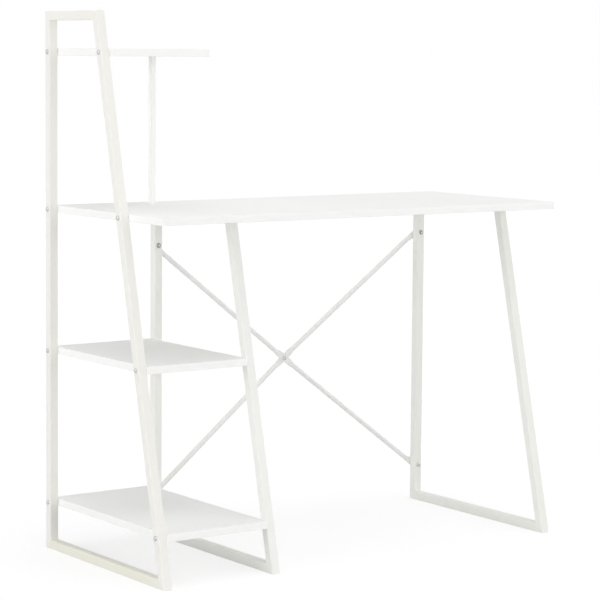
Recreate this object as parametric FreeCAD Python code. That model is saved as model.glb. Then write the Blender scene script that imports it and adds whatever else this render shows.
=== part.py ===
import FreeCAD, Part
import math
import os

# Desk with shelves on three frames of square steel tube, in millimetres.
# X runs along the desk to the right, Y to the back and Z up from the floor.
# X is counted from the tall frame's outer face and Y from the back of the uprights;
# at the end everything moves so that the origin is the middle of the footprint.

# The three frames
overall_height = 1170.0
frame_depth = 490.0
tall_frame_top_depth = 218.0
low_frame_height = 736.0
tube_side = 20.0
tube_wall = 1.5
tube_corner = 2.0

# Flat bar welded across the tops of a low frame's uprights, right under the tabletop
flat_bar_thickness = 4.0
flat_bar_edge_break = 0.5

# Clear width of the shelves' bay, between the tall frame and the middle one
bay_width = 246.0

# Boards
board_thickness = 16.0
board_edge_break = 0.6
tabletop_length = 1046.0
tabletop_depth = 450.0
tabletop_overhang = 34.0
top_shelf_below_top = 79.0
middle_shelf_height = 444.0
bottom_shelf_height = 110.0
shelf_lip = 1.5

# Post that carries the free end of the top shelf
post_side = 12.0
post_wall = 1.2
post_corner = 1.0
post_from_shelf_end = 45.0
post_from_back = 80.0
post_plug_length = 14.0
post_plug_play = 0.1
post_cap_flange = 2.0
post_screw_radius = 2.5
post_screw_head_radius = 4.8
post_screw_head_height = 2.8
post_screw_reach = 9.0

# Cross brace behind the knee room: two round bars that bow back to where they cross.
# They are pressed flat at both ends and in the middle, for their bolts.
brace_radius = 5.75
brace_flat_width = 15.0
brace_flat_thickness = 2.5
brace_end_flat = 16.0
brace_middle_flat = 20.0
brace_transition = 12.0
brace_below_tabletop = 82.0
brace_foot_height = 85.0
brace_bow = 23.0

# Button heads of the furniture screws and of the brace's bolts, with a hex socket
hex_sides = 6
head_radius = 5.25
head_height = 3.0
head_crown_radius = 3.2
socket_across = 4.0
socket_depth = 1.8
hole_clearance = 0.3
thread_play = 0.05

# Furniture screws, through an upright into the end of a board
side_screw_radius = 3.2
side_screw_bite = 30.0

# Bolts and hex nuts of the brace
bolt_radius = 3.0
nut_across = 10.0
nut_height = 5.0
bolt_past_nut = 1.0

# Screws that hold the tabletop down on the low frames
screw_radius = 2.2
screw_head_radius = 5.0
screw_head_height = 2.6
screw_bite = 12.0
screw_from_back = 60.0
screw_spacing = 190.0

# Extra length of every cutting body, and how level an edge has to be to count as level
overrun = 5.0
level_tolerance = 0.01

# Sizes that follow from the ones above
middle_frame_x = tube_side + bay_width
tabletop_end_x = tube_side + tabletop_length
right_frame_x = tabletop_end_x - tabletop_overhang - tube_side
tabletop_height = low_frame_height + board_thickness
top_shelf_height = overall_height - top_shelf_below_top
slope = (frame_depth - tall_frame_top_depth) / overall_height
leg_width = tube_side * math.hypot(slope, 1)
post_x = middle_frame_x - post_from_shelf_end
post_y = -post_from_back
brace_top_height = low_frame_height - brace_below_tabletop
brace_left_x = middle_frame_x + tube_side / 2
brace_right_x = right_frame_x + tube_side / 2
side_screw_length = tube_side + side_screw_bite
flat_bar_underside = low_frame_height - flat_bar_thickness
top_screw_length = flat_bar_thickness + screw_bite

X_AXIS = FreeCAD.Vector(1, 0, 0)
Y_AXIS = FreeCAD.Vector(0, 1, 0)
Z_AXIS = FreeCAD.Vector(0, 0, 1)


def depth_at(height):
    """Depth of a frame at a height: the front uprights lean back as they rise."""
    return frame_depth - slope * height


def front_screw_y(height):
    """Middle of a leaning upright at a height."""
    return leg_width / 2 - depth_at(height)


def group(solids):
    """Separate solids that share one file."""
    return solids[0] if len(solids) == 1 else Part.makeCompound(solids)


def upright_edges(solid):
    """The edges of an upright block that stand."""
    return [edge for edge in solid.Edges if edge.BoundBox.ZLength > level_tolerance]


def square_bar(side, corner, length):
    """A bar along Z with rounded long edges; one corner of its section is at the origin."""
    bar = Part.makeBox(side, side, length)
    return bar.makeFillet(corner, upright_edges(bar))


def square_tube(side, wall, corner, length):
    """A hollow bar along Z."""
    hollow = Part.makeBox(side - 2 * wall, side - 2 * wall, length, FreeCAD.Vector(wall, wall, 0))
    return square_bar(side, corner, length).cut(hollow)


def hex_prism(across, height):
    """A hexagon of the given width across its flats, standing on the origin along Z."""
    half_side = math.pi / hex_sides
    corner = across / 2 / math.cos(half_side)
    turns = [2 * half_side * step for step in range(hex_sides)]
    points = [FreeCAD.Vector(corner * math.cos(a), corner * math.sin(a), 0) for a in turns]
    return Part.Face(Part.makePolygon(points + points[:1])).extrude(Z_AXIS * height)


def turned(profile):
    """A solid turned about Z from points of radius and height."""
    points = [FreeCAD.Vector(radius, 0, height) for radius, height in profile]
    face = Part.Face(Part.makePolygon(points + points[:1]))
    return face.revolve(FreeCAD.Vector(0, 0, 0), Z_AXIS, 360)


def aim(solid, place, direction):
    """Stands a solid that was made along Z at a place, along a direction."""
    turn = FreeCAD.Rotation(Z_AXIS, direction)
    solid.Placement = FreeCAD.Placement(place, turn).multiply(solid.Placement)
    return solid


def drill(radius, mouth, direction, depth, blind=False):
    """A cutting cylinder from before its mouth down to its depth, and past it unless it is blind."""
    reach = depth if blind else depth + overrun
    return Part.makeCylinder(radius, overrun + reach, mouth - direction * overrun, direction)


def inset(corners, depth):
    """Inner corners of an outline in the YZ plane whose sides all move inwards by a depth."""
    inner = []
    for index, corner in enumerate(corners):
        before = (corner - corners[index - 1]).normalize()
        after = (corners[(index + 1) % len(corners)] - corner).normalize()
        inward_before = X_AXIS.cross(before)
        inward_after = X_AXIS.cross(after)
        share = depth / (1 + inward_before.dot(inward_after))
        inner.append(corner + (inward_before + inward_after) * share)
    return inner


def frame_tube(start, end, inner_start, inner_end, x):
    """One side of a frame between its outer corners, its ends cut towards its inner corners."""
    along = end - start
    tube = square_tube(tube_side, tube_wall, tube_corner, along.Length)
    tube.translate(FreeCAD.Vector(0, -tube_side, 0))
    tilt = math.degrees(math.atan2(-along.y, along.z))
    tube.Placement = FreeCAD.Placement(start, FreeCAD.Rotation(X_AXIS, tilt)).multiply(tube.Placement)
    mitre = Part.makePolygon([start, end, inner_end, inner_start, start])
    blank = Part.Face(mitre).extrude(X_AXIS * tube_side)
    tube = tube.common(blank)
    tube.translate(FreeCAD.Vector(x, 0, 0))
    return tube


def flat_bar(x, length, screw_places):
    """The flat top of a low frame, drilled for the screws that go up into the tabletop."""
    corner = FreeCAD.Vector(x, -length, flat_bar_underside)
    blank = Part.makeBox(tube_side, length, flat_bar_thickness, corner)
    bar = blank.makeChamfer(flat_bar_edge_break, blank.Edges)
    for y in screw_places:
        place = FreeCAD.Vector(x + tube_side / 2, y, flat_bar_underside)
        bar = bar.cut(drill(screw_radius + hole_clearance, place, Z_AXIS, flat_bar_thickness))
    return bar


def frame(name, x, height, side_screw_heights, brace_heights, screw_places):
    """One welded frame, drilled for what is fastened to it. With screws it has a flat top."""
    flat = len(screw_places) > 0
    tube_top = flat_bar_underside if flat else height
    outer = [
        FreeCAD.Vector(0, 0, 0),
        FreeCAD.Vector(0, 0, tube_top),
        FreeCAD.Vector(0, -depth_at(tube_top), tube_top),
        FreeCAD.Vector(0, -frame_depth, 0),
    ]
    back_foot, back_top, front_top, front_foot = outer
    in_back_foot, in_back_top, in_front_top, in_front_foot = inset(outer, tube_side)
    tubes = {}
    if flat:
        in_back_top = back_top - Y_AXIS * tube_side
        in_front_top = front_top + Y_AXIS * leg_width
        tubes["top_bar"] = flat_bar(x, depth_at(tube_top), screw_places)
    else:
        tubes["top_bar"] = frame_tube(back_top, front_top, in_back_top, in_front_top, x)
    tubes["back_upright"] = frame_tube(back_foot, back_top, in_back_foot, in_back_top, x)
    tubes["front_upright"] = frame_tube(front_top, front_foot, in_front_top, in_front_foot, x)
    tubes["bottom_bar"] = frame_tube(front_foot, back_foot, in_front_foot, in_back_foot, x)
    for z in side_screw_heights:
        hole = side_screw_radius + hole_clearance
        back = drill(hole, FreeCAD.Vector(x, -tube_side / 2, z), X_AXIS, tube_side)
        front = drill(hole, FreeCAD.Vector(x, front_screw_y(z), z), X_AXIS, tube_side)
        tubes["back_upright"] = tubes["back_upright"].cut(back)
        tubes["front_upright"] = tubes["front_upright"].cut(front)
    for z in brace_heights:
        hole = bolt_radius + hole_clearance
        place = FreeCAD.Vector(x + tube_side / 2, -tube_side, z)
        tubes["back_upright"] = tubes["back_upright"].cut(drill(hole, place, Y_AXIS, tube_side))
    return {f"{name}_{side}": tube for side, tube in tubes.items()}


def board(length, depth, x, underside):
    """A board whose back edge is flush with the uprights, with all its edges broken."""
    blank = Part.makeBox(length, depth, board_thickness, FreeCAD.Vector(x, -depth, underside))
    return blank.makeChamfer(board_edge_break, blank.Edges)


def button_head(shank_radius, length):
    """A button-head screw or bolt along Z, its head's seat at the origin and its head below."""
    body = turned([
        (0, -head_height),
        (head_crown_radius, -head_height),
        (head_radius, 0),
        (shank_radius, 0),
        (shank_radius, length),
        (0, length),
    ])
    socket = hex_prism(socket_across, socket_depth)
    socket.translate(FreeCAD.Vector(0, 0, -head_height))
    return body.cut(socket)


def side_fixing(board_end_x, direction, underside):
    """Furniture screws and pilot holes for the end of a board on a frame's two uprights."""
    z = underside + board_thickness / 2
    screws, pilots = [], []
    for y in (-tube_side / 2, front_screw_y(z)):
        seat = FreeCAD.Vector(board_end_x, y, z) - direction * tube_side
        screws.append(aim(button_head(side_screw_radius, side_screw_length), seat, direction))
        pilots.append(drill(side_screw_radius + thread_play, seat, direction, side_screw_length, True))
    return group(screws), pilots


def side_screwed_board(name, length, depth, height, both_ends):
    """A board on the uprights of one or two frames, with its screws."""
    underside = height - board_thickness
    plank = board(length, depth, tube_side, underside)
    made = {}
    made[f"{name}_left_screws"], pilots = side_fixing(tube_side, X_AXIS, underside)
    if both_ends:
        made[f"{name}_right_screws"], right_pilots = side_fixing(middle_frame_x, -X_AXIS, underside)
        pilots = pilots + right_pilots
    for pilot in pilots:
        plank = plank.cut(pilot)
    made[name] = plank
    return made


def countersunk_screw(length):
    """A countersunk screw along Z, its head's flat top at the origin and its point above."""
    body = turned([
        (0, 0),
        (post_screw_head_radius, 0),
        (post_screw_radius, post_screw_head_height),
        (post_screw_radius, length),
        (0, length),
    ])
    return body.cut(hex_prism(socket_across, socket_depth))


def countersink(place, direction):
    """Cutting body for a countersunk screw through a board."""
    through = drill(post_screw_radius + hole_clearance, place, direction, board_thickness)
    mouth = turned([
        (0, 0),
        (post_screw_head_radius + thread_play, 0),
        (post_screw_radius + thread_play, post_screw_head_height),
        (0, post_screw_head_height),
    ])
    return through.fuse(aim(mouth, place, direction))


def shelf_post():
    """The post, its foot cap, the plug in its top and the two screws that hold it."""
    shelf_underside = top_shelf_height - board_thickness
    foot = tabletop_height + post_cap_flange
    height = shelf_underside - foot
    corner = FreeCAD.Vector(post_x - post_side / 2, post_y - post_side / 2, foot)
    post = square_tube(post_side, post_wall, post_corner, height)
    post.translate(corner)
    plug_side = post_side - 2 * (post_wall + post_plug_play)
    plug_corner = FreeCAD.Vector(post_x - plug_side / 2, post_y - plug_side / 2, foot)
    spigot = Part.makeBox(plug_side, plug_side, post_plug_length, plug_corner)
    plug = spigot.translated(FreeCAD.Vector(0, 0, height - post_plug_length))
    tapped = post_screw_radius + thread_play
    top_place = FreeCAD.Vector(post_x, post_y, top_shelf_height)
    plug = plug.cut(drill(tapped, top_place, -Z_AXIS, board_thickness + post_plug_length))
    flange = square_bar(post_side, post_corner, post_side + post_cap_flange)
    flange = flange.common(Part.makeBox(post_side, post_side, post_cap_flange))
    flange.translate(FreeCAD.Vector(corner.x, corner.y, tabletop_height))
    foot_place = FreeCAD.Vector(post_x, post_y, low_frame_height)
    cap_drill = drill(tapped, foot_place, Z_AXIS, board_thickness + post_cap_flange + post_plug_length)
    cap = flange.fuse(spigot).removeSplitter().cut(cap_drill)
    screw_length = board_thickness + post_cap_flange + post_screw_reach
    return {
        "shelf_post": post,
        "post_top_plug": plug,
        "post_foot_cap": cap,
        "post_top_screw": aim(countersunk_screw(screw_length - post_cap_flange), top_place, -Z_AXIS),
        "post_foot_screw": aim(countersunk_screw(screw_length), foot_place, Z_AXIS),
    }


def flat_section(offset, z):
    """Section of a brace bar where it is pressed flat, with its middle at an offset to the back."""
    half_width = brace_flat_width / 2
    near = offset - brace_flat_thickness / 2
    far = offset + brace_flat_thickness / 2
    corners = [(half_width, far), (-half_width, far), (-half_width, near), (half_width, near)]
    points = [FreeCAD.Vector(x, y, z) for x, y in corners]
    return Part.makePolygon(points + points[:1])


def round_section(offset, z):
    """Section of a brace bar where it is round, in four arcs that face the flat section's sides."""
    fold = math.atan2(brace_flat_thickness, brace_flat_width)
    centre = FreeCAD.Vector(0, offset, z)

    def rim(angle):
        return centre + FreeCAD.Vector(math.cos(angle), math.sin(angle), 0) * brace_radius

    ends = [fold, math.pi - fold, math.pi + fold, -fold]
    middles = [math.pi / 2, math.pi, -math.pi / 2, 0]
    arcs = []
    for index, middle in enumerate(middles):
        following = ends[(index + 1) % len(ends)]
        arcs.append(Part.Arc(rim(ends[index]), rim(middle), rim(following)).toShape())
    return Part.Wire(arcs)


def brace(start, end, crossing_offset):
    """A brace bar between two bolts, bowed back to an offset where it is bolted to the other."""
    along = end - start
    length = along.Length
    middle = length / 2
    seat_offset = brace_flat_thickness / 2
    round_low = brace_end_flat + brace_transition
    round_high = middle - brace_middle_flat - brace_transition
    half = [
        flat_section(seat_offset, 0),
        flat_section(seat_offset, brace_end_flat),
        round_section(brace_radius, round_low),
        round_section(crossing_offset, round_high),
        flat_section(crossing_offset, middle - brace_middle_flat),
    ]
    other_half = [
        flat_section(crossing_offset, middle + brace_middle_flat),
        round_section(crossing_offset, length - round_high),
        round_section(brace_radius, length - round_low),
        flat_section(seat_offset, length - brace_end_flat),
        flat_section(seat_offset, length),
    ]
    sections = half + other_half
    pieces = [Part.makeLoft([low, high], True, True) for low, high in zip(sections, sections[1:])]
    for z in (0, length):
        centre = FreeCAD.Vector(0, 0, z)
        pieces.append(Part.makeCylinder(brace_flat_width / 2, brace_flat_thickness, centre, Y_AXIS))
    bar = pieces[0].fuse(pieces[1:]).removeSplitter()
    crossing_mouth = crossing_offset - seat_offset
    for z, y in ((0, 0), (middle, crossing_mouth), (length, 0)):
        mouth = FreeCAD.Vector(0, y, z)
        bar = bar.cut(drill(bolt_radius + hole_clearance, mouth, Y_AXIS, brace_flat_thickness))
    tilt = math.degrees(math.atan2(along.x, along.z))
    bar.Placement = FreeCAD.Placement(start, FreeCAD.Rotation(Y_AXIS, tilt))
    return bar


def hex_nut(place):
    """A nut whose seat is at a place and whose body lies behind it."""
    nut = hex_prism(nut_across, nut_height)
    nut = nut.cut(drill(bolt_radius + thread_play, FreeCAD.Vector(0, 0, 0), Z_AXIS, nut_height))
    return aim(nut, place, Y_AXIS)


def cross_brace():
    """Both brace bars with the bolts and nuts at their ends and where they cross."""
    top_left = FreeCAD.Vector(brace_left_x, 0, brace_top_height)
    foot_left = FreeCAD.Vector(brace_left_x, 0, brace_foot_height)
    top_right = FreeCAD.Vector(brace_right_x, 0, brace_top_height)
    foot_right = FreeCAD.Vector(brace_right_x, 0, brace_foot_height)
    end_bolt_length = tube_side + brace_flat_thickness + nut_height + bolt_past_nut
    bolts, nuts = [], []
    for place in (top_left, foot_left, top_right, foot_right):
        bolts.append(aim(button_head(bolt_radius, end_bolt_length), place - Y_AXIS * tube_side, Y_AXIS))
        nuts.append(hex_nut(place + Y_AXIS * brace_flat_thickness))
    crossing = (top_left + foot_right) / 2 + Y_AXIS * brace_bow
    centre_length = 2 * brace_flat_thickness + nut_height + bolt_past_nut
    centre_seat = crossing - Y_AXIS * brace_flat_thickness
    half = brace_flat_thickness / 2
    return {
        "falling_brace": brace(top_left, foot_right, brace_bow - half),
        "rising_brace": brace(foot_left, top_right, brace_bow + half),
        "brace_end_bolts": group(bolts),
        "brace_end_nuts": group(nuts),
        "brace_centre_bolt": aim(button_head(bolt_radius, centre_length), centre_seat, Y_AXIS),
        "brace_centre_nut": hex_nut(crossing + Y_AXIS * brace_flat_thickness),
    }


def top_screw(place):
    """A pan-head screw from under a frame's flat top up into the tabletop."""
    body = turned([
        (0, -screw_head_height),
        (screw_head_radius, -screw_head_height),
        (screw_head_radius, 0),
        (screw_radius, 0),
        (screw_radius, top_screw_length),
        (0, top_screw_length),
    ])
    return aim(body, place, Z_AXIS)


def shelves():
    """The three shelves and the tabletop with what screws them to the uprights."""
    made = {}
    for name, height in (("middle_shelf", middle_shelf_height), ("bottom_shelf", bottom_shelf_height)):
        depth = depth_at(height - board_thickness) + shelf_lip
        made.update(side_screwed_board(name, bay_width, depth, height, True))
    top_depth = depth_at(top_shelf_height - board_thickness) + shelf_lip
    made.update(side_screwed_board("top_shelf", bay_width, top_depth, top_shelf_height, False))
    made.update(side_screwed_board("tabletop", tabletop_length, tabletop_depth, tabletop_height, False))
    shelf_sink = countersink(FreeCAD.Vector(post_x, post_y, top_shelf_height), -Z_AXIS)
    made["top_shelf"] = made["top_shelf"].cut(shelf_sink)
    desk_sink = countersink(FreeCAD.Vector(post_x, post_y, low_frame_height), Z_AXIS)
    made["tabletop"] = made["tabletop"].cut(desk_sink)
    return made


def model():
    """Every piece of the desk by its name."""
    side_heights = [middle_shelf_height, bottom_shelf_height]
    mid = board_thickness / 2
    low_screws = [height - mid for height in side_heights]
    tall_screws = [height - mid for height in side_heights + [tabletop_height, top_shelf_height]]
    braced = [brace_top_height, brace_foot_height]
    screw_places = [-screw_from_back, -screw_from_back - screw_spacing]
    made = {}
    made.update(frame("tall_frame", 0, overall_height, tall_screws, [], []))
    made.update(frame("middle_frame", middle_frame_x, low_frame_height, low_screws, braced, screw_places))
    made.update(frame("right_frame", right_frame_x, low_frame_height, [], braced, screw_places))
    made.update(shelves())
    made.update(shelf_post())
    made.update(cross_brace())
    for name, x in (("middle_frame", middle_frame_x), ("right_frame", right_frame_x)):
        seats = [FreeCAD.Vector(x + tube_side / 2, y, flat_bar_underside) for y in screw_places]
        made[f"{name}_top_screws"] = group([top_screw(seat) for seat in seats])
        for seat in seats:
            pilot = drill(screw_radius + thread_play, seat, Z_AXIS, top_screw_length, True)
            made["tabletop"] = made["tabletop"].cut(pilot)
    return made


back_reach = brace_bow + brace_flat_thickness + nut_height + bolt_past_nut
footprint_middle = FreeCAD.Vector((tabletop_end_x - head_height) / 2, (back_reach - frame_depth) / 2, 0)

os.makedirs("parts", exist_ok=True)
for node, shape in model().items():
    shape.translate(-footprint_middle)
    shape.exportStep(f"parts/{node}.step")
    print(node, len(shape.Solids), "solid(s)", round(shape.Volume / 1000, 2), "cm3", shape.isValid())
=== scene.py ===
"""Desk with shelves on white steel frames, dressed and lit in a plain pale studio."""
import math

import bpy
from mathutils import Matrix, Vector


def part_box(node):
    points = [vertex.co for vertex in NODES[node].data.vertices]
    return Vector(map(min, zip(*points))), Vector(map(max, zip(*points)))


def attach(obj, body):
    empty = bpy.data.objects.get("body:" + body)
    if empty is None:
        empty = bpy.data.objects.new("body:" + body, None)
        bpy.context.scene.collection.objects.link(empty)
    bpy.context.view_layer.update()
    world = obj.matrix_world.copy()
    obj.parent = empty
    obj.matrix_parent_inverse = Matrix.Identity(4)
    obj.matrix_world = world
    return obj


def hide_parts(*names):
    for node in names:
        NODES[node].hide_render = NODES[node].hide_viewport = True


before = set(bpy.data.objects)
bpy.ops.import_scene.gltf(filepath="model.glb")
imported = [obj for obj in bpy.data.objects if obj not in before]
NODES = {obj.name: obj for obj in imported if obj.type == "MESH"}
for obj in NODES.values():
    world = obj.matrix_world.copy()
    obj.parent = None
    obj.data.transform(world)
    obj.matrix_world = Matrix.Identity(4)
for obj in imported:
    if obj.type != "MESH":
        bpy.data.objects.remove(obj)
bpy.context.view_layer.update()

MM = 0.001

# Camera of the photograph, whose picture is 600 pixels wide and high
PICTURE_PIXELS = 600
FOCAL_PIXELS = 2270.2
LENS_AXIS_ROW = 250
SENSOR_WIDTH = 36
FARTHEST_SEEN = 200
CAMERA_PLACE = (-2.9207, -4.0890, 1.0885)
CAMERA_YAW, CAMERA_PITCH, CAMERA_ROLL = -35.377, -5.004, 0.454

# Studio: each light's name, where it comes from, its strength and its spread in degrees
AMBIENT = 0.37
SEEN_WHITE = 1.0
WIDE, NARROW = 60, 25
SUNS = (
    ("left_light", (-1.0, 0.0, 0.08), 1.30, WIDE),
    ("left_key", (-1.0, 0.0, 0.05), 0.53, NARROW),
    ("front_key", (0.0, -1.0, 0.05), 0.59, NARROW),
    ("front_right_light", (0.6, -0.8, 0.15), 0.40, WIDE),
    ("right_light", (1.0, 0.0, 0.08), 1.42, WIDE),
    ("high_light", (0.1, -0.7, 1.0), 0.44, WIDE),
    ("top_light", (0.0, 0.0, 1.0), 0.75, WIDE),
)
SUN_DISTANCE = 4
FLOOR_SIDE = 60.0
FLOOR_BOUNCE = 0.80
FLOOR_SEEN_DIFFUSE = 0.40
FLOOR_SEEN_GLOW = 0.66

# Button heads of the furniture screws and of the brace's bolts
HEAD_RADIUS = 5.25 * MM
HEAD_HEIGHT = 3.0 * MM
HEAD_ROUND = 2.2 * MM
HEAD_ROUND_STEPS = 6
HEAD_ROUND_SHAPE = 0.46
HEAD_SOFT_EDGE = 0.12 * MM
SOCKET_ACROSS = 4.0 * MM
SOCKET_DEPTH = 1.8 * MM
# Within this radius a head's crown takes its second finish, a painted highlight
CROWN_RADIUS = 3.05 * MM
CROWN_DEPTH = 0.5 * MM
SIDE_SCREW_RADIUS = 3.2 * MM
SIDE_SCREW_LENGTH = 50.0 * MM
SIDE_SCREW_PITCH = 2.4 * MM
SIDE_SCREW_THREAD = 0.7 * MM
SIDE_SCREW_PLAIN = 20 * MM
BOLT_RADIUS = 3.0 * MM
BOLT_PITCH = 1.0 * MM
BOLT_THREAD = 0.3 * MM
END_BOLT_PLAIN = 14 * MM
CROSSING_BOLT_PLAIN = 3 * MM

# Nuts of the brace
NUT_ACROSS = 10.0 * MM
NUT_HEIGHT = 5.0 * MM
NUT_CORNER_CUT = 0.85 * MM
NUT_CORNER_PLAY = 0.05 * MM
NUT_BORE_PLAY = 0.02 * MM
NUT_SMOOTH_ANGLE = 25

# Screws under the low frames' flat tops
PAN_RADIUS = 5.0 * MM
PAN_HEIGHT = 2.6 * MM
PAN_ROUND = 1.4 * MM
PAN_ROUND_STEPS = 5
PAN_ROUND_SHAPE = 0.5
PAN_SCREW_RADIUS = 2.2 * MM
PAN_SCREW_PITCH = 1.8 * MM
PAN_SCREW_THREAD = 0.45 * MM
CROSS_DEPTH = 1.7 * MM
CROSS_REACH = 2.6 * MM
CROSS_BLADE = 0.9 * MM
CROSS_FOOT_SHARE = 0.45

# Countersunk screws of the post
SUNK_RADIUS = 4.8 * MM
SUNK_HEIGHT = 2.8 * MM
SUNK_RIM = 0.3 * MM
SUNK_SCREW_RADIUS = 2.5 * MM
SUNK_SCREW_PITCH = 0.8 * MM
SUNK_SCREW_THREAD = 0.3 * MM

# What all the fasteners share; a thread's turn is a flank, its root, a flank and its crest
ROUND_SIDES = 40
HEX_SIDES = 6
SOFT_EDGE = 0.1 * MM
SOFT_EDGE_STEPS = 2
SMOOTH_ANGLE = 38
SHORT_PLAIN = 1.5 * MM
FALLING_FLANK, ROOT, RISING_FLANK, CREST = 0.45, 0.10, 0.35, 0.10
SHORTEST_END = 0.05 * MM
END_SHARE = 0.72

# How far a cutting body stands past the piece it cuts
CUT_MARGIN = 1 * MM
SKIN = 0.01 * MM

# What counts as the same height or radius, and as a face that looks up
SAME_HEIGHT = 1e-6
SAME_RADIUS = 1e-5
LOOKS_UP = 0.5

# Noise patterns as scale and detail: repeats to the metre, and how many finer layers
PAINT_DRIFT, PAINT_GRAIN, PAINT_WEAR, PAINT_GLOSS = (9, 3), (1400, 1), (60, 4), (30, 4)
PAINT_PEEL, PAINT_FINE_PEEL = (520, 2), (2400, 1)
BOARD_DRIFT, BOARD_SPECK, BOARD_GLOSS = (5, 3), (1800, 1), (40, 3)
BOARD_PEARL, BOARD_WAVE = (1500, 2), (90, 1)
CAP_DRIFT, CAP_GLOSS, CAP_GRAIN = (80, 3), (700, 2), (3000, 2)
ZINC_CLOUDS, ZINC_GLOSS, ZINC_GRAIN = (260, 4), (900, 3), (2500, 2)

# Powder coats: two tones of the faces, and the tone where the coat is thin; the frames' tones
# differ frame by frame as painted light and shade
TALL_FRAME_TONES = (0.918, 0.909, 0.872), (0.904, 0.892, 0.836), (0.81, 0.80, 0.76)
# The tall frame's foot bar is painted darker and warmer, as painted shade and warm bounce light
# under the bottom shelf
SHADED_TALL_FOOT_TONES = (0.896, 0.887, 0.805), (0.882, 0.870, 0.772), (0.78, 0.77, 0.71)
# The middle frame's coat is painted lighter, as painted light
LIT_MIDDLE_FRAME_TONES = (0.926, 0.930, 0.893), (0.910, 0.912, 0.873), (0.83, 0.83, 0.79)
# The right frame's coat is painted darker, as painted shade
SHADED_RIGHT_FRAME_TONES = (0.895, 0.898, 0.858), (0.876, 0.878, 0.836), (0.79, 0.79, 0.75)
BRACE_TONES = (0.897, 0.897, 0.879), (0.878, 0.880, 0.861), (0.77, 0.77, 0.75)
# The post's faces are painted lighter as painted light, and its thin tone darker as painted shade
# along its edges
POST_LIT_AND_EDGE_SHADE_TONES = (0.975, 0.975, 0.964), (0.967, 0.967, 0.956), (0.74, 0.74, 0.73)
PAINT_SPECULAR = 0.25
PAINT_GRAIN_SHARE = 0.10
PEEL_DEPTH, FINE_PEEL_DEPTH = 0.3 * MM, 0.1 * MM
FRAME_ROUGHNESS, FRAME_PEEL = (0.66, 0.78), 0.10
BRACE_ROUGHNESS, POST_ROUGHNESS, THIN_BAR_PEEL = (0.40, 0.52), (0.46, 0.56), 0.05

# Thin coat along the edges: how far it reaches, the cosines of the turned normal at which it
# is full and at which it ends, and how much of the thin tone shows there; on the post the dark
# edge tone is painted shade
EDGE_SAMPLES = 6
FRAME_EDGE, BRACE_EDGE, POST_EDGE = 1.2 * MM, 0.6 * MM, 2.4 * MM
FRAME_TURN, BRACE_TURN, POST_TURN = (0.90, 0.995), (0.75, 0.95), (0.93, 0.995)
FRAME_WEAR, POST_EDGE_SHADE = (0.30, 0.60), (0.75, 0.95)

# Melamine boards. Levelness is 1 on a level face and 0 on an upright one: the edge band begins
# at one value and is full at the next, and the glue line runs along the boards' broken edges
BOARD_TONES = (0.965, 0.965, 0.951), (0.956, 0.958, 0.942)
BOARD_SPECK_TONE, BOARD_SPECK_SHARE = (0.89, 0.89, 0.875), 0.12
BOARD_ROUGHNESS = (0.76, 0.86)
BOARD_SPECULAR, BAND_SPECULAR = 0.20, 0.80
BAND_TONE = (0.978, 0.978, 0.962)
BAND_FROM, BAND_TO = 0.4, 0.2
GLUE_TONE, GLUE_SHARE = (0.80, 0.79, 0.76), 0.35
GLUE_MIDDLE, GLUE_REACH = 0.62, 0.25
PEARL_STRENGTH, PEARL_DEPTH = 0.12, 0.1 * MM
WAVE_STRENGTH, WAVE_DEPTH = 0.05, 0.2 * MM

# Moulded cap
CAP_TONES = (0.92, 0.92, 0.91), (0.89, 0.89, 0.88)
CAP_ROUGHNESS = (0.35, 0.5)
CAP_GRAIN_STRENGTH, CAP_GRAIN_DEPTH = 0.15, 0.1 * MM

# Zinc plating: a cool and a warm tone, and the tone of its rubbed edges
# The rubbed zinc also gives the side screws' crowns their painted highlight
RUBBED_AND_HIGHLIGHT_TONES = (0.65, 0.66, 0.67), (0.70, 0.70, 0.68), (0.77, 0.77, 0.76)
GREY_TONES = (0.50, 0.51, 0.53), (0.56, 0.56, 0.54), (0.63, 0.63, 0.62)
# The dull zinc is darker as painted shade on the upper brace bolts under the tabletop
DULL_AND_SHADED_TONES = (0.27, 0.28, 0.30), (0.33, 0.33, 0.31), (0.41, 0.41, 0.40)
ZINC_ROUGHNESS = (0.26, 0.42)
ZINC_EDGE, ZINC_TURN = 0.4 * MM, (0.85, 0.99)
ZINC_GRAIN_STRENGTH, ZINC_GRAIN_DEPTH = 0.12, 0.05 * MM


# Shaping

def deselect_everything():
    """Leaves edit mode and selects nothing, so that the next operator acts on its own piece."""
    if bpy.context.object and bpy.context.object.mode != "OBJECT":
        bpy.ops.object.mode_set(mode="OBJECT")
    bpy.ops.object.select_all(action="DESELECT")


def take_up(piece):
    """Makes a piece the only selected one and the active one."""
    deselect_everything()
    piece.select_set(True)
    bpy.context.view_layer.objects.active = piece


def round_blank(sides, radius, low, high):
    """A cylinder primitive along Z between two heights, in object mode."""
    deselect_everything()
    bpy.ops.mesh.primitive_cylinder_add(
        vertices=sides, radius=radius, depth=high - low, location=(0, 0, (low + high) / 2))
    blank = bpy.context.object
    bpy.ops.object.transform_apply(location=True, rotation=True, scale=True)
    return blank


def start_selection(kind):
    """Edit mode for one kind of part with nothing selected, and back to object mode."""
    bpy.ops.object.mode_set(mode="EDIT")
    bpy.ops.mesh.select_all(action="DESELECT")
    bpy.ops.mesh.select_mode(type=kind)
    bpy.ops.object.mode_set(mode="OBJECT")


def select_face_at(piece, height):
    """Edit mode with only the upper level face at a height selected."""
    start_selection("FACE")
    for face in piece.data.polygons:
        at_height = abs(face.center.z - height) < SAME_HEIGHT
        face.select = at_height and face.normal.z > LOOKS_UP
    bpy.ops.object.mode_set(mode="EDIT")


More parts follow.
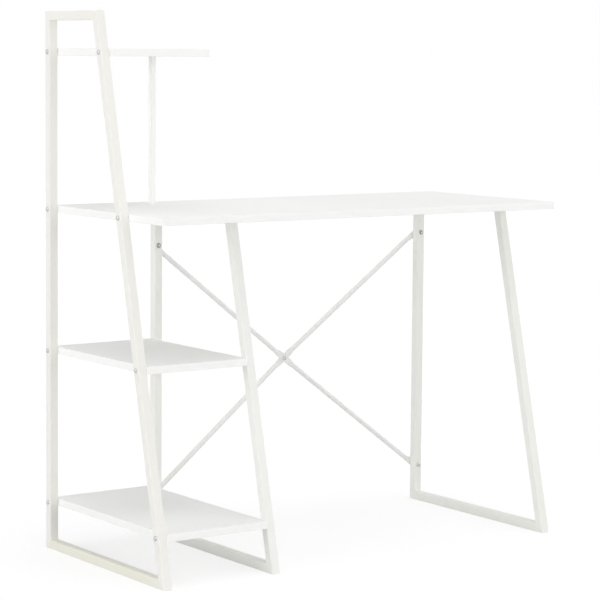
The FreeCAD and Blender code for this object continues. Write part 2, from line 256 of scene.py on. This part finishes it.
def select_rim_at(piece, height, radius):
    """Edit mode with only the edges of a round rim selected."""
    start_selection("EDGE")
    vertices = piece.data.vertices
    for edge in piece.data.edges:
        ends = [vertices[index].co for index in edge.vertices]
        edge.select = all(
            abs(end.z - height) < SAME_HEIGHT and abs(end.xy.length - radius) < SAME_RADIUS
            for end in ends)
    bpy.ops.object.mode_set(mode="EDIT")


def move_up(distance):
    """Draws the selected face out along Z."""
    bpy.ops.mesh.extrude_region_move(TRANSFORM_OT_translate={"value": (0, 0, distance)})


def scale_across(share):
    """Makes the selected face wider or narrower, at its own height."""
    bpy.ops.transform.resize(value=(share, share, 1))


def turn_thread(radius, length, pitch, depth, plain):
    """From the selected end face, a shank along +Z with a thread after its plain part."""
    move_up(plain)
    turns = int((length - plain) / pitch)
    for _ in range(turns):
        move_up(pitch * FALLING_FLANK)
        scale_across((radius - depth) / radius)
        move_up(pitch * ROOT)
        move_up(pitch * RISING_FLANK)
        scale_across(radius / (radius - depth))
        move_up(pitch * CREST)
    rest = length - plain - turns * pitch
    move_up(max(rest, SHORTEST_END))
    scale_across(END_SHARE)


def combine(piece, other, operation):
    """Cuts another body out of a piece, or keeps what both have in common."""
    take_up(piece)
    step = piece.modifiers.new("combine", "BOOLEAN")
    step.operation = operation
    step.solver = "EXACT"
    step.object = other
    bpy.ops.object.modifier_apply(modifier=step.name)
    bpy.data.objects.remove(other)


def soften(piece, width, angle):
    """A small round on the piece's sharp edges, then smooth shading up to that angle."""
    take_up(piece)
    edge_round = piece.modifiers.new("edge_round", "BEVEL")
    edge_round.width = width
    edge_round.segments = SOFT_EDGE_STEPS
    edge_round.limit_method = "ANGLE"
    edge_round.angle_limit = math.radians(angle)
    bpy.ops.object.modifier_apply(modifier=edge_round.name)
    bpy.ops.object.shade_smooth_by_angle(angle=math.radians(angle))


def socket_cutter(top):
    """A hexagonal body that cuts a socket into a head from its top."""
    return round_blank(
        HEX_SIDES, SOCKET_ACROSS / math.sqrt(3), top - 2 * CUT_MARGIN, top + SOCKET_DEPTH)


def paint_crown_highlight(screw):
    """The crown and the socket of a head get the second finish, a lighter zinc on most heads: a
    painted highlight.
    """
    for face in screw.data.polygons:
        if face.center.z < -CROWN_DEPTH and face.center.xy.length < CROWN_RADIUS:
            face.material_index = 1


def button_screw(shank_radius, length, pitch, thread_depth, plain):
    """A button head with a hex socket at the origin, its threaded shank along +Z."""
    screw = round_blank(ROUND_SIDES, HEAD_RADIUS, -HEAD_HEIGHT, 0)
    select_rim_at(screw, -HEAD_HEIGHT, HEAD_RADIUS)
    bpy.ops.mesh.bevel(
        offset=HEAD_ROUND, segments=HEAD_ROUND_STEPS, profile=HEAD_ROUND_SHAPE, affect="EDGES")
    select_face_at(screw, 0)
    bpy.ops.mesh.inset(thickness=HEAD_RADIUS - shank_radius)
    turn_thread(shank_radius, length, pitch, thread_depth, plain)
    combine(screw, socket_cutter(-HEAD_HEIGHT), "DIFFERENCE")
    soften(screw, HEAD_SOFT_EDGE, SMOOTH_ANGLE)
    paint_crown_highlight(screw)
    return screw


def cross_cutter(top):
    """Two crossed tapering blades that cut a cross recess from a head's top."""
    blades = []
    for turn in (0, math.pi / 2):
        deselect_everything()
        middle = top + CROSS_DEPTH / 2 - CUT_MARGIN / 2
        bpy.ops.mesh.primitive_cube_add(size=1, location=(0, 0, middle))
        blade = bpy.context.object
        blade.scale = (2 * CROSS_REACH, CROSS_BLADE, CROSS_DEPTH + CUT_MARGIN)
        blade.rotation_euler = (0, 0, turn)
        bpy.ops.object.transform_apply(location=True, rotation=True, scale=True)
        select_face_at(blade, top + CROSS_DEPTH)
        scale_across(CROSS_FOOT_SHARE)
        bpy.ops.object.mode_set(mode="OBJECT")
        blades.append(blade)
    return blades


def pan_screw(length):
    """A pan head with a cross recess at the origin, its threaded shank along +Z."""
    screw = round_blank(ROUND_SIDES, PAN_RADIUS, -PAN_HEIGHT, 0)
    select_rim_at(screw, -PAN_HEIGHT, PAN_RADIUS)
    bpy.ops.mesh.bevel(
        offset=PAN_ROUND, segments=PAN_ROUND_STEPS, profile=PAN_ROUND_SHAPE, affect="EDGES")
    select_face_at(screw, 0)
    bpy.ops.mesh.inset(thickness=PAN_RADIUS - PAN_SCREW_RADIUS)
    turn_thread(PAN_SCREW_RADIUS, length, PAN_SCREW_PITCH, PAN_SCREW_THREAD, SHORT_PLAIN)
    for blade in cross_cutter(-PAN_HEIGHT):
        combine(screw, blade, "DIFFERENCE")
    soften(screw, SOFT_EDGE, SMOOTH_ANGLE)
    return screw


def countersunk_screw(length):
    """A countersunk head whose flat top is at the origin, with a hex socket, along +Z."""
    screw = round_blank(ROUND_SIDES, SUNK_RADIUS, 0, SUNK_RIM)
    select_face_at(screw, SUNK_RIM)
    move_up(SUNK_HEIGHT - SUNK_RIM)
    scale_across(SUNK_SCREW_RADIUS / SUNK_RADIUS)
    turn_thread(
        SUNK_SCREW_RADIUS, length - SUNK_HEIGHT, SUNK_SCREW_PITCH, SUNK_SCREW_THREAD, SHORT_PLAIN)
    combine(screw, socket_cutter(0), "DIFFERENCE")
    soften(screw, SOFT_EDGE, SMOOTH_ANGLE)
    return screw


def hex_nut():
    """A nut that stands on the origin along +Z, its corners cut by a cone at both ends."""
    nut = round_blank(HEX_SIDES, NUT_ACROSS / math.sqrt(3), 0, NUT_HEIGHT)
    corner = NUT_ACROSS / math.sqrt(3) + NUT_CORNER_PLAY
    turned = round_blank(ROUND_SIDES, corner, -SKIN, NUT_HEIGHT + SKIN)
    for height in (-SKIN, NUT_HEIGHT + SKIN):
        select_rim_at(turned, height, corner)
        bpy.ops.mesh.bevel(offset=NUT_CORNER_CUT, segments=1, affect="EDGES")
    bpy.ops.object.mode_set(mode="OBJECT")
    combine(nut, turned, "INTERSECT")
    bore = round_blank(
        ROUND_SIDES, BOLT_RADIUS + NUT_BORE_PLAY, -CUT_MARGIN, NUT_HEIGHT + CUT_MARGIN)
    combine(nut, bore, "DIFFERENCE")
    soften(nut, SOFT_EDGE, NUT_SMOOTH_ANGLE)
    return nut


def turn_to(direction):
    """The turn that lays a piece made along +Z along a direction."""
    return Vector((0, 0, 1)).rotation_difference(Vector(direction)).to_matrix().to_4x4()


def place_copy(pattern, name, place, direction, node, finishes):
    """A copy of a fastener with its own mesh, standing for a CAD node."""
    mesh = pattern.data.copy()
    mesh.transform(Matrix.Translation(place) @ turn_to(direction))
    piece = bpy.data.objects.new(name, mesh)
    mesh.name = name
    bpy.context.scene.collection.objects.link(piece)
    for finish in finishes:
        mesh.materials.append(finish)
    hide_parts(node)
    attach(piece, "root")


# Finishes

def finish_nodes(name):
    """A new material, its nodes and links, its shader and its coordinates."""
    material = bpy.data.materials.new(name)
    material.use_nodes = True
    tree = material.node_tree
    shader = tree.nodes["Principled BSDF"]
    coordinates = tree.nodes.new("ShaderNodeTexCoord")
    return material, tree, shader, coordinates


def noise(tree, coordinates, pattern):
    """A noise factor on object coordinates, which are in metres."""
    scale, detail = pattern
    texture = tree.nodes.new("ShaderNodeTexNoise")
    texture.inputs["Scale"].default_value = scale
    texture.inputs["Detail"].default_value = detail
    tree.links.new(coordinates.outputs["Object"], texture.inputs["Vector"])
    return texture.outputs["Fac"]


def ranged(tree, value, low, high, from_low=0.3, from_high=0.7):
    """A factor spread over a range of values; the range it comes from fits a noise."""
    node = tree.nodes.new("ShaderNodeMapRange")
    node.inputs["From Min"].default_value = from_low
    node.inputs["From Max"].default_value = from_high
    node.inputs["To Min"].default_value = low
    node.inputs["To Max"].default_value = high
    tree.links.new(value, node.inputs["Value"])
    return node.outputs["Result"]


def blended(tree, factor, first, second):
    """Two colours, or colour outputs, mixed by a factor."""
    node = tree.nodes.new("ShaderNodeMix")
    node.data_type = "RGBA"
    colour_a, colour_b = [s for s in node.inputs if s.type == "RGBA"]
    for socket, colour in ((colour_a, first), (colour_b, second)):
        if isinstance(colour, tuple):
            socket.default_value = (*colour, 1)
        else:
            tree.links.new(colour, socket)
    tree.links.new(factor, node.inputs["Factor"])
    return [s for s in node.outputs if s.type == "RGBA"][0]


def bumped(tree, shader, heights):
    """Bump from several (height, strength, distance) in a row."""
    normal = None
    for height, strength, distance in heights:
        bump = tree.nodes.new("ShaderNodeBump")
        bump.inputs["Strength"].default_value = strength
        bump.inputs["Distance"].default_value = distance
        tree.links.new(height, bump.inputs["Height"])
        if normal is not None:
            tree.links.new(normal, bump.inputs["Normal"])
        normal = bump.outputs["Normal"]
    tree.links.new(normal, shader.inputs["Normal"])


def roughened(tree, shader, coordinates, pattern, roughness):
    """Roughness that wanders between two values."""
    rough = ranged(tree, noise(tree, coordinates, pattern), *roughness)
    tree.links.new(rough, shader.inputs["Roughness"])


def edge_share(tree, radius, turn):
    """How near an outer edge a point lies, from how far its normal turns within a radius."""
    rounded = tree.nodes.new("ShaderNodeBevel")
    rounded.samples = EDGE_SAMPLES
    rounded.inputs["Radius"].default_value = radius
    plain = tree.nodes.new("ShaderNodeNewGeometry")
    dot = tree.nodes.new("ShaderNodeVectorMath")
    dot.operation = "DOT_PRODUCT"
    tree.links.new(rounded.outputs["Normal"], dot.inputs[0])
    tree.links.new(plain.outputs["Normal"], dot.inputs[1])
    return ranged(tree, dot.outputs["Value"], 1, 0, *turn)


def powder_coat(name, tones, roughness, peel, edge=FRAME_EDGE, turn=FRAME_TURN, edge_wear_and_shade=FRAME_WEAR):
    """Powder coat on steel: a fine orange peel, and a thinner, darker coat along the edges, which
    on the post is painted shade along its edges.
    """
    light, shade, thin = tones
    material, tree, shader, coordinates = finish_nodes(name)
    shader.inputs["Specular IOR Level"].default_value = PAINT_SPECULAR
    drift = ranged(tree, noise(tree, coordinates, PAINT_DRIFT), 0, 1)
    base = blended(tree, drift, light, shade)
    grain = ranged(tree, noise(tree, coordinates, PAINT_GRAIN), 0, PAINT_GRAIN_SHARE)
    base = blended(tree, grain, base, thin)
    worn_and_shaded_edge = tree.nodes.new("ShaderNodeMath")
    worn_and_shaded_edge.operation = "MULTIPLY"
    tree.links.new(edge_share(tree, edge, turn), worn_and_shaded_edge.inputs[0])
    tree.links.new(ranged(tree, noise(tree, coordinates, PAINT_WEAR), *edge_wear_and_shade), worn_and_shaded_edge.inputs[1])
    base = blended(tree, worn_and_shaded_edge.outputs["Value"], base, thin)
    tree.links.new(base, shader.inputs["Base Color"])
    roughened(tree, shader, coordinates, PAINT_GLOSS, roughness)
    bumped(tree, shader, [
        (noise(tree, coordinates, PAINT_PEEL), peel, PEEL_DEPTH),
        (noise(tree, coordinates, PAINT_FINE_PEEL), peel / 2, FINE_PEEL_DEPTH),
    ])
    return material


def melamine(name):
    """White melamine board: a fine pearl texture, and a glossier edge band with its glue line."""
    light, shade = BOARD_TONES
    material, tree, shader, coordinates = finish_nodes(name)
    drift = ranged(tree, noise(tree, coordinates, BOARD_DRIFT), 0, 1)
    face = blended(tree, drift, light, shade)
    speck = ranged(tree, noise(tree, coordinates, BOARD_SPECK), 0, BOARD_SPECK_SHARE)
    face = blended(tree, speck, face, BOARD_SPECK_TONE)
    normal = tree.nodes.new("ShaderNodeSeparateXYZ")
    tree.links.new(coordinates.outputs["Normal"], normal.inputs["Vector"])
    level = tree.nodes.new("ShaderNodeMath")
    level.operation = "ABSOLUTE"
    tree.links.new(normal.outputs["Z"], level.inputs[0])
    levelness = level.outputs["Value"]
    band_share = ranged(tree, levelness, 1, 0, BAND_TO, BAND_FROM)
    band = blended(tree, band_share, face, BAND_TONE)
    gloss = ranged(tree, levelness, BAND_SPECULAR, BOARD_SPECULAR, BAND_TO, BAND_FROM)
    tree.links.new(gloss, shader.inputs["Specular IOR Level"])
    seam = tree.nodes.new("ShaderNodeMath")
    seam.operation = "COMPARE"
    seam.inputs[1].default_value = GLUE_MIDDLE
    seam.inputs[2].default_value = GLUE_REACH
    tree.links.new(levelness, seam.inputs[0])
    glue_share = ranged(tree, seam.outputs["Value"], 0, GLUE_SHARE, 0, 1)
    base = blended(tree, glue_share, band, GLUE_TONE)
    tree.links.new(base, shader.inputs["Base Color"])
    roughened(tree, shader, coordinates, BOARD_GLOSS, BOARD_ROUGHNESS)
    bumped(tree, shader, [
        (noise(tree, coordinates, BOARD_PEARL), PEARL_STRENGTH, PEARL_DEPTH),
        (noise(tree, coordinates, BOARD_WAVE), WAVE_STRENGTH, WAVE_DEPTH),
    ])
    return material


def moulded_plastic(name):
    """White moulded plastic with a fine spark-eroded grain."""
    light, shade = CAP_TONES
    material, tree, shader, coordinates = finish_nodes(name)
    drift = ranged(tree, noise(tree, coordinates, CAP_DRIFT), 0, 1)
    tree.links.new(blended(tree, drift, light, shade), shader.inputs["Base Color"])
    roughened(tree, shader, coordinates, CAP_GLOSS, CAP_ROUGHNESS)
    bumped(tree, shader, [
        (noise(tree, coordinates, CAP_GRAIN), CAP_GRAIN_STRENGTH, CAP_GRAIN_DEPTH)])
    return material


def zinc(name, tones):
    """Zinc-plated steel: grey with faint blue and yellow clouds and rubbed edges."""
    cool, warm, rubbed = tones
    material, tree, shader, coordinates = finish_nodes(name)
    shader.inputs["Metallic"].default_value = 1.0
    clouds = ranged(tree, noise(tree, coordinates, ZINC_CLOUDS), 0, 1)
    base = blended(tree, clouds, cool, warm)
    base = blended(tree, edge_share(tree, ZINC_EDGE, ZINC_TURN), base, rubbed)
    tree.links.new(base, shader.inputs["Base Color"])
    roughened(tree, shader, coordinates, ZINC_GLOSS, ZINC_ROUGHNESS)
    bumped(tree, shader, [
        (noise(tree, coordinates, ZINC_GRAIN), ZINC_GRAIN_STRENGTH, ZINC_GRAIN_DEPTH)])
    return material


def dress(node, material):
    """A CAD node keeps its shape and gets a finish."""
    mesh = NODES[node].data
    mesh.materials.clear()
    mesh.materials.append(material)


def frame_coat(name, tones):
    """The powder coat of a frame's square tubes."""
    return powder_coat(name, tones, FRAME_ROUGHNESS, FRAME_PEEL)


TALL_FRAME_PAINT = frame_coat("tall_frame_powder_coat", TALL_FRAME_TONES)
SHADED_TALL_FOOT_PAINT = frame_coat("shaded_tall_foot_powder_coat", SHADED_TALL_FOOT_TONES)
LIT_MIDDLE_FRAME_PAINT = frame_coat("lit_middle_frame_powder_coat", LIT_MIDDLE_FRAME_TONES)
SHADED_RIGHT_FRAME_PAINT = frame_coat("shaded_right_frame_powder_coat", SHADED_RIGHT_FRAME_TONES)
BRACE_PAINT = powder_coat(
    "brace_powder_coat", BRACE_TONES, BRACE_ROUGHNESS, THIN_BAR_PEEL, BRACE_EDGE, BRACE_TURN)
POST_LIT_AND_EDGE_SHADE_PAINT = powder_coat(
    "post_lit_and_edge_shade_coat", POST_LIT_AND_EDGE_SHADE_TONES, POST_ROUGHNESS, THIN_BAR_PEEL, POST_EDGE, POST_TURN, POST_EDGE_SHADE)
BOARD_FINISH = melamine("white_melamine")
CAP_FINISH = moulded_plastic("white_moulded_cap")
RUBBED_AND_HIGHLIGHT_ZINC = zinc("rubbed_and_highlight_zinc", RUBBED_AND_HIGHLIGHT_TONES)
GREY_ZINC = zinc("grey_zinc", GREY_TONES)
DULL_AND_SHADED_ZINC = zinc("dull_and_shaded_zinc", DULL_AND_SHADED_TONES)

# Finishes of a button head: the head with its shank, then its crown, painted lighter as a
# highlight on the side screws and the upper brace bolts
SIDE_SCREW_FINISH = (GREY_ZINC, RUBBED_AND_HIGHLIGHT_ZINC)
# Upper brace bolts: heads painted darker as painted shade, crowns lighter as a painted highlight
SHADED_UPPER_BOLT_FINISH = (DULL_AND_SHADED_ZINC, GREY_ZINC)
BOLT_FINISH = (GREY_ZINC, GREY_ZINC)


def dress_nodes():
    """Gives every node that keeps its CAD shape its finish."""
    for frame_name, paint, foot_paint in (
            ("tall_frame", TALL_FRAME_PAINT, SHADED_TALL_FOOT_PAINT),
            ("middle_frame", LIT_MIDDLE_FRAME_PAINT, LIT_MIDDLE_FRAME_PAINT),
            ("right_frame", SHADED_RIGHT_FRAME_PAINT, SHADED_RIGHT_FRAME_PAINT)):
        for side in ("back_upright", "top_bar", "front_upright"):
            dress(f"{frame_name}_{side}", paint)
        dress(f"{frame_name}_bottom_bar", foot_paint)
    dress("shelf_post", POST_LIT_AND_EDGE_SHADE_PAINT)
    for board in ("tabletop", "top_shelf", "middle_shelf", "bottom_shelf"):
        dress(board, BOARD_FINISH)
    for bar in ("falling_brace", "rising_brace"):
        dress(bar, BRACE_PAINT)
    dress("post_foot_cap", CAP_FINISH)
    dress("post_top_plug", RUBBED_AND_HIGHLIGHT_ZINC)


# Fasteners, each modelled once and copied to where the CAD has it

def side_screws():
    """Furniture screws through the uprights into the ends of the boards."""
    pattern = button_screw(SIDE_SCREW_RADIUS, SIDE_SCREW_LENGTH, SIDE_SCREW_PITCH,
                           SIDE_SCREW_THREAD, SIDE_SCREW_PLAIN)
    for board, end in (("top_shelf", "left"), ("tabletop", "left"), ("middle_shelf", "left"),
                       ("bottom_shelf", "left"), ("middle_shelf", "right"),
                       ("bottom_shelf", "right")):
        node = f"{board}_{end}_screws"
        low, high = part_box(node)
        x = low.x + HEAD_HEIGHT if end == "left" else high.x - HEAD_HEIGHT
        direction = (1, 0, 0) if end == "left" else (-1, 0, 0)
        z = (low.z + high.z) / 2
        for place, y in (("back", high.y - HEAD_RADIUS), ("front", low.y + HEAD_RADIUS)):
            place_copy(pattern, f"{board}_{end}_{place}_screw", Vector((x, y, z)), direction,
                       node, SIDE_SCREW_FINISH)
    bpy.data.objects.remove(pattern)


def brace_fasteners():
    """Bolts and nuts at the ends of the brace bars and where they cross."""
    low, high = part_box("brace_end_bolts")
    seat = low.y + HEAD_HEIGHT
    bolt = button_screw(BOLT_RADIUS, high.y - seat, BOLT_PITCH, BOLT_THREAD, END_BOLT_PLAIN)
    nut = hex_nut()
    nut_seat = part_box("brace_end_nuts")[0].y
    for side, x in (("left", low.x + HEAD_RADIUS), ("right", high.x - HEAD_RADIUS)):
        for level, z, finish in (("upper", high.z - HEAD_RADIUS, SHADED_UPPER_BOLT_FINISH),
                                 ("lower", low.z + HEAD_RADIUS, BOLT_FINISH)):
            place_copy(bolt, f"brace_{level}_{side}_bolt", Vector((x, seat, z)), (0, 1, 0),
                       "brace_end_bolts", finish)
            place_copy(nut, f"brace_{level}_{side}_nut", Vector((x, nut_seat, z)), (0, 1, 0),
                       "brace_end_nuts", (GREY_ZINC,))
    bpy.data.objects.remove(bolt)
    low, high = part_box("brace_centre_bolt")
    middle = (low + high) / 2
    seat = low.y + HEAD_HEIGHT
    bolt = button_screw(BOLT_RADIUS, high.y - seat, BOLT_PITCH, BOLT_THREAD, CROSSING_BOLT_PLAIN)
    place_copy(bolt, "brace_crossing_bolt", Vector((middle.x, seat, middle.z)), (0, 1, 0),
               "brace_centre_bolt", BOLT_FINISH)
    nut_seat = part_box("brace_centre_nut")[0].y
    place_copy(nut, "brace_crossing_nut", Vector((middle.x, nut_seat, middle.z)), (0, 1, 0),
               "brace_centre_nut", (GREY_ZINC,))
    bpy.data.objects.remove(bolt)
    bpy.data.objects.remove(nut)


def tabletop_screws():
    """Pan-head screws from under the low frames' flat tops into the tabletop."""
    low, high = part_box("middle_frame_top_screws")
    pattern = pan_screw(high.z - low.z - PAN_HEIGHT)
    for name in ("middle_frame", "right_frame"):
        node = f"{name}_top_screws"
        low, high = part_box(node)
        x = (low.x + high.x) / 2
        for place, y in (("back", high.y - PAN_RADIUS), ("front", low.y + PAN_RADIUS)):
            seat = Vector((x, y, low.z + PAN_HEIGHT))
            place_copy(pattern, f"{name}_{place}_top_screw", seat, (0, 0, 1), node,
                       (RUBBED_AND_HIGHLIGHT_ZINC,))
    bpy.data.objects.remove(pattern)


def post_screws():
    """Countersunk screws that hold the post between the top shelf and the tabletop."""
    for node, direction in (("post_top_screw", -1), ("post_foot_screw", 1)):
        low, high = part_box(node)
        pattern = countersunk_screw(high.z - low.z)
        head = high.z if direction < 0 else low.z
        place = Vector(((low.x + high.x) / 2, (low.y + high.y) / 2, head))
        place_copy(pattern, f"{node}_turned", place, (0, 0, direction), node, (DULL_AND_SHADED_ZINC,))
        bpy.data.objects.remove(pattern)


# Studio

def either(tree, first, second):
    """The larger of two values, here whether a ray is of one kind or of another."""
    node = tree.nodes.new("ShaderNodeMath")
    node.operation = "MAXIMUM"
    tree.links.new(first, node.inputs[0])
    tree.links.new(second, node.inputs[1])
    return node.outputs[0]


def diffuse(tree, grey):
    """A plain matt grey."""
    shader = tree.nodes.new("ShaderNodeBsdfDiffuse")
    shader.inputs["Color"].default_value = (grey, grey, grey, 1)
    return shader.outputs[0]


def mixed_shaders(tree, factor, first, second):
    """Two shaders mixed by a factor."""
    node = tree.nodes.new("ShaderNodeMixShader")
    for output, socket in zip((factor, first, second), node.inputs):
        tree.links.new(output, socket)
    return node.outputs[0]


def studio_floor():
    """A pale floor: white where the camera sees it lit, with the desk's shadow."""
    deselect_everything()
    bpy.ops.mesh.primitive_plane_add(size=FLOOR_SIDE, location=(0, 0, 0))
    floor = bpy.context.object
    floor.name = "studio_floor"
    material = bpy.data.materials.new("pale_floor")
    material.use_nodes = True
    tree = material.node_tree
    tree.nodes.clear()
    path = tree.nodes.new("ShaderNodeLightPath")
    seen = either(tree, path.outputs["Is Camera Ray"], path.outputs["Is Glossy Ray"])
    glow = tree.nodes.new("ShaderNodeEmission")
    glow.inputs["Strength"].default_value = FLOOR_SEEN_GLOW
    lit = tree.nodes.new("ShaderNodeAddShader")
    tree.links.new(diffuse(tree, FLOOR_SEEN_DIFFUSE), lit.inputs[0])
    tree.links.new(glow.outputs[0], lit.inputs[1])
    by_ray = mixed_shaders(tree, seen, diffuse(tree, FLOOR_BOUNCE), lit.outputs[0])
    geometry = tree.nodes.new("ShaderNodeNewGeometry")
    clear = tree.nodes.new("ShaderNodeBsdfTransparent")
    one_sided = mixed_shaders(tree, geometry.outputs["Backfacing"], by_ray, clear.outputs[0])
    output = tree.nodes.new("ShaderNodeOutputMaterial")
    tree.links.new(one_sided, output.inputs["Surface"])
    floor.data.materials.append(material)


def studio_world():
    """A white surround that lights the desk softly and is seen as plain white."""
    world = bpy.data.worlds.new("studio")
    bpy.context.scene.world = world
    world.use_nodes = True
    tree = world.node_tree
    background = tree.nodes["Background"]
    background.inputs["Color"].default_value = (1, 1, 1, 1)
    path = tree.nodes.new("ShaderNodeLightPath")
    seen = either(tree, path.outputs["Is Camera Ray"], path.outputs["Is Glossy Ray"])
    seen = either(tree, seen, path.outputs["Is Transmission Ray"])
    strength = ranged(tree, seen, AMBIENT, SEEN_WHITE, 0, 1)
    tree.links.new(strength, background.inputs["Strength"])


def soft_sun(name, towards, strength, spread):
    """An even, soft light that comes from a direction."""
    lamp = bpy.data.lights.new(name, "SUN")
    lamp.energy = strength
    lamp.angle = math.radians(spread)
    holder = bpy.data.objects.new(name, lamp)
    bpy.context.scene.collection.objects.link(holder)
    holder.rotation_euler = Vector(towards).to_track_quat("Z", "Y").to_euler()
    holder.location = Vector(towards).normalized() * SUN_DISTANCE


def photograph_camera():
    """The camera at the photograph's viewing angle."""
    lens = bpy.data.cameras.new("photograph_camera")
    lens.sensor_width = SENSOR_WIDTH
    lens.lens = FOCAL_PIXELS / PICTURE_PIXELS * SENSOR_WIDTH
    lens.shift_y = (LENS_AXIS_ROW - PICTURE_PIXELS / 2) / PICTURE_PIXELS
    lens.clip_end = FARTHEST_SEEN
    camera = bpy.data.objects.new("photograph_camera", lens)
    bpy.context.scene.collection.objects.link(camera)
    turn = Matrix.Rotation(math.radians(CAMERA_YAW), 4, "Z")
    tip = Matrix.Rotation(math.radians(90 + CAMERA_PITCH), 4, "X")
    roll = Matrix.Rotation(math.radians(CAMERA_ROLL), 4, "Z")
    camera.matrix_world = Matrix.Translation(CAMERA_PLACE) @ turn @ tip @ roll
    bpy.context.scene.camera = camera


dress_nodes()
side_screws()
brace_fasteners()
tabletop_screws()
post_screws()

studio_floor()
studio_world()
for name, towards, strength, spread in SUNS:
    soft_sun(name, towards, strength, spread)
photograph_camera()
bpy.context.scene.view_settings.view_transform = "Standard"
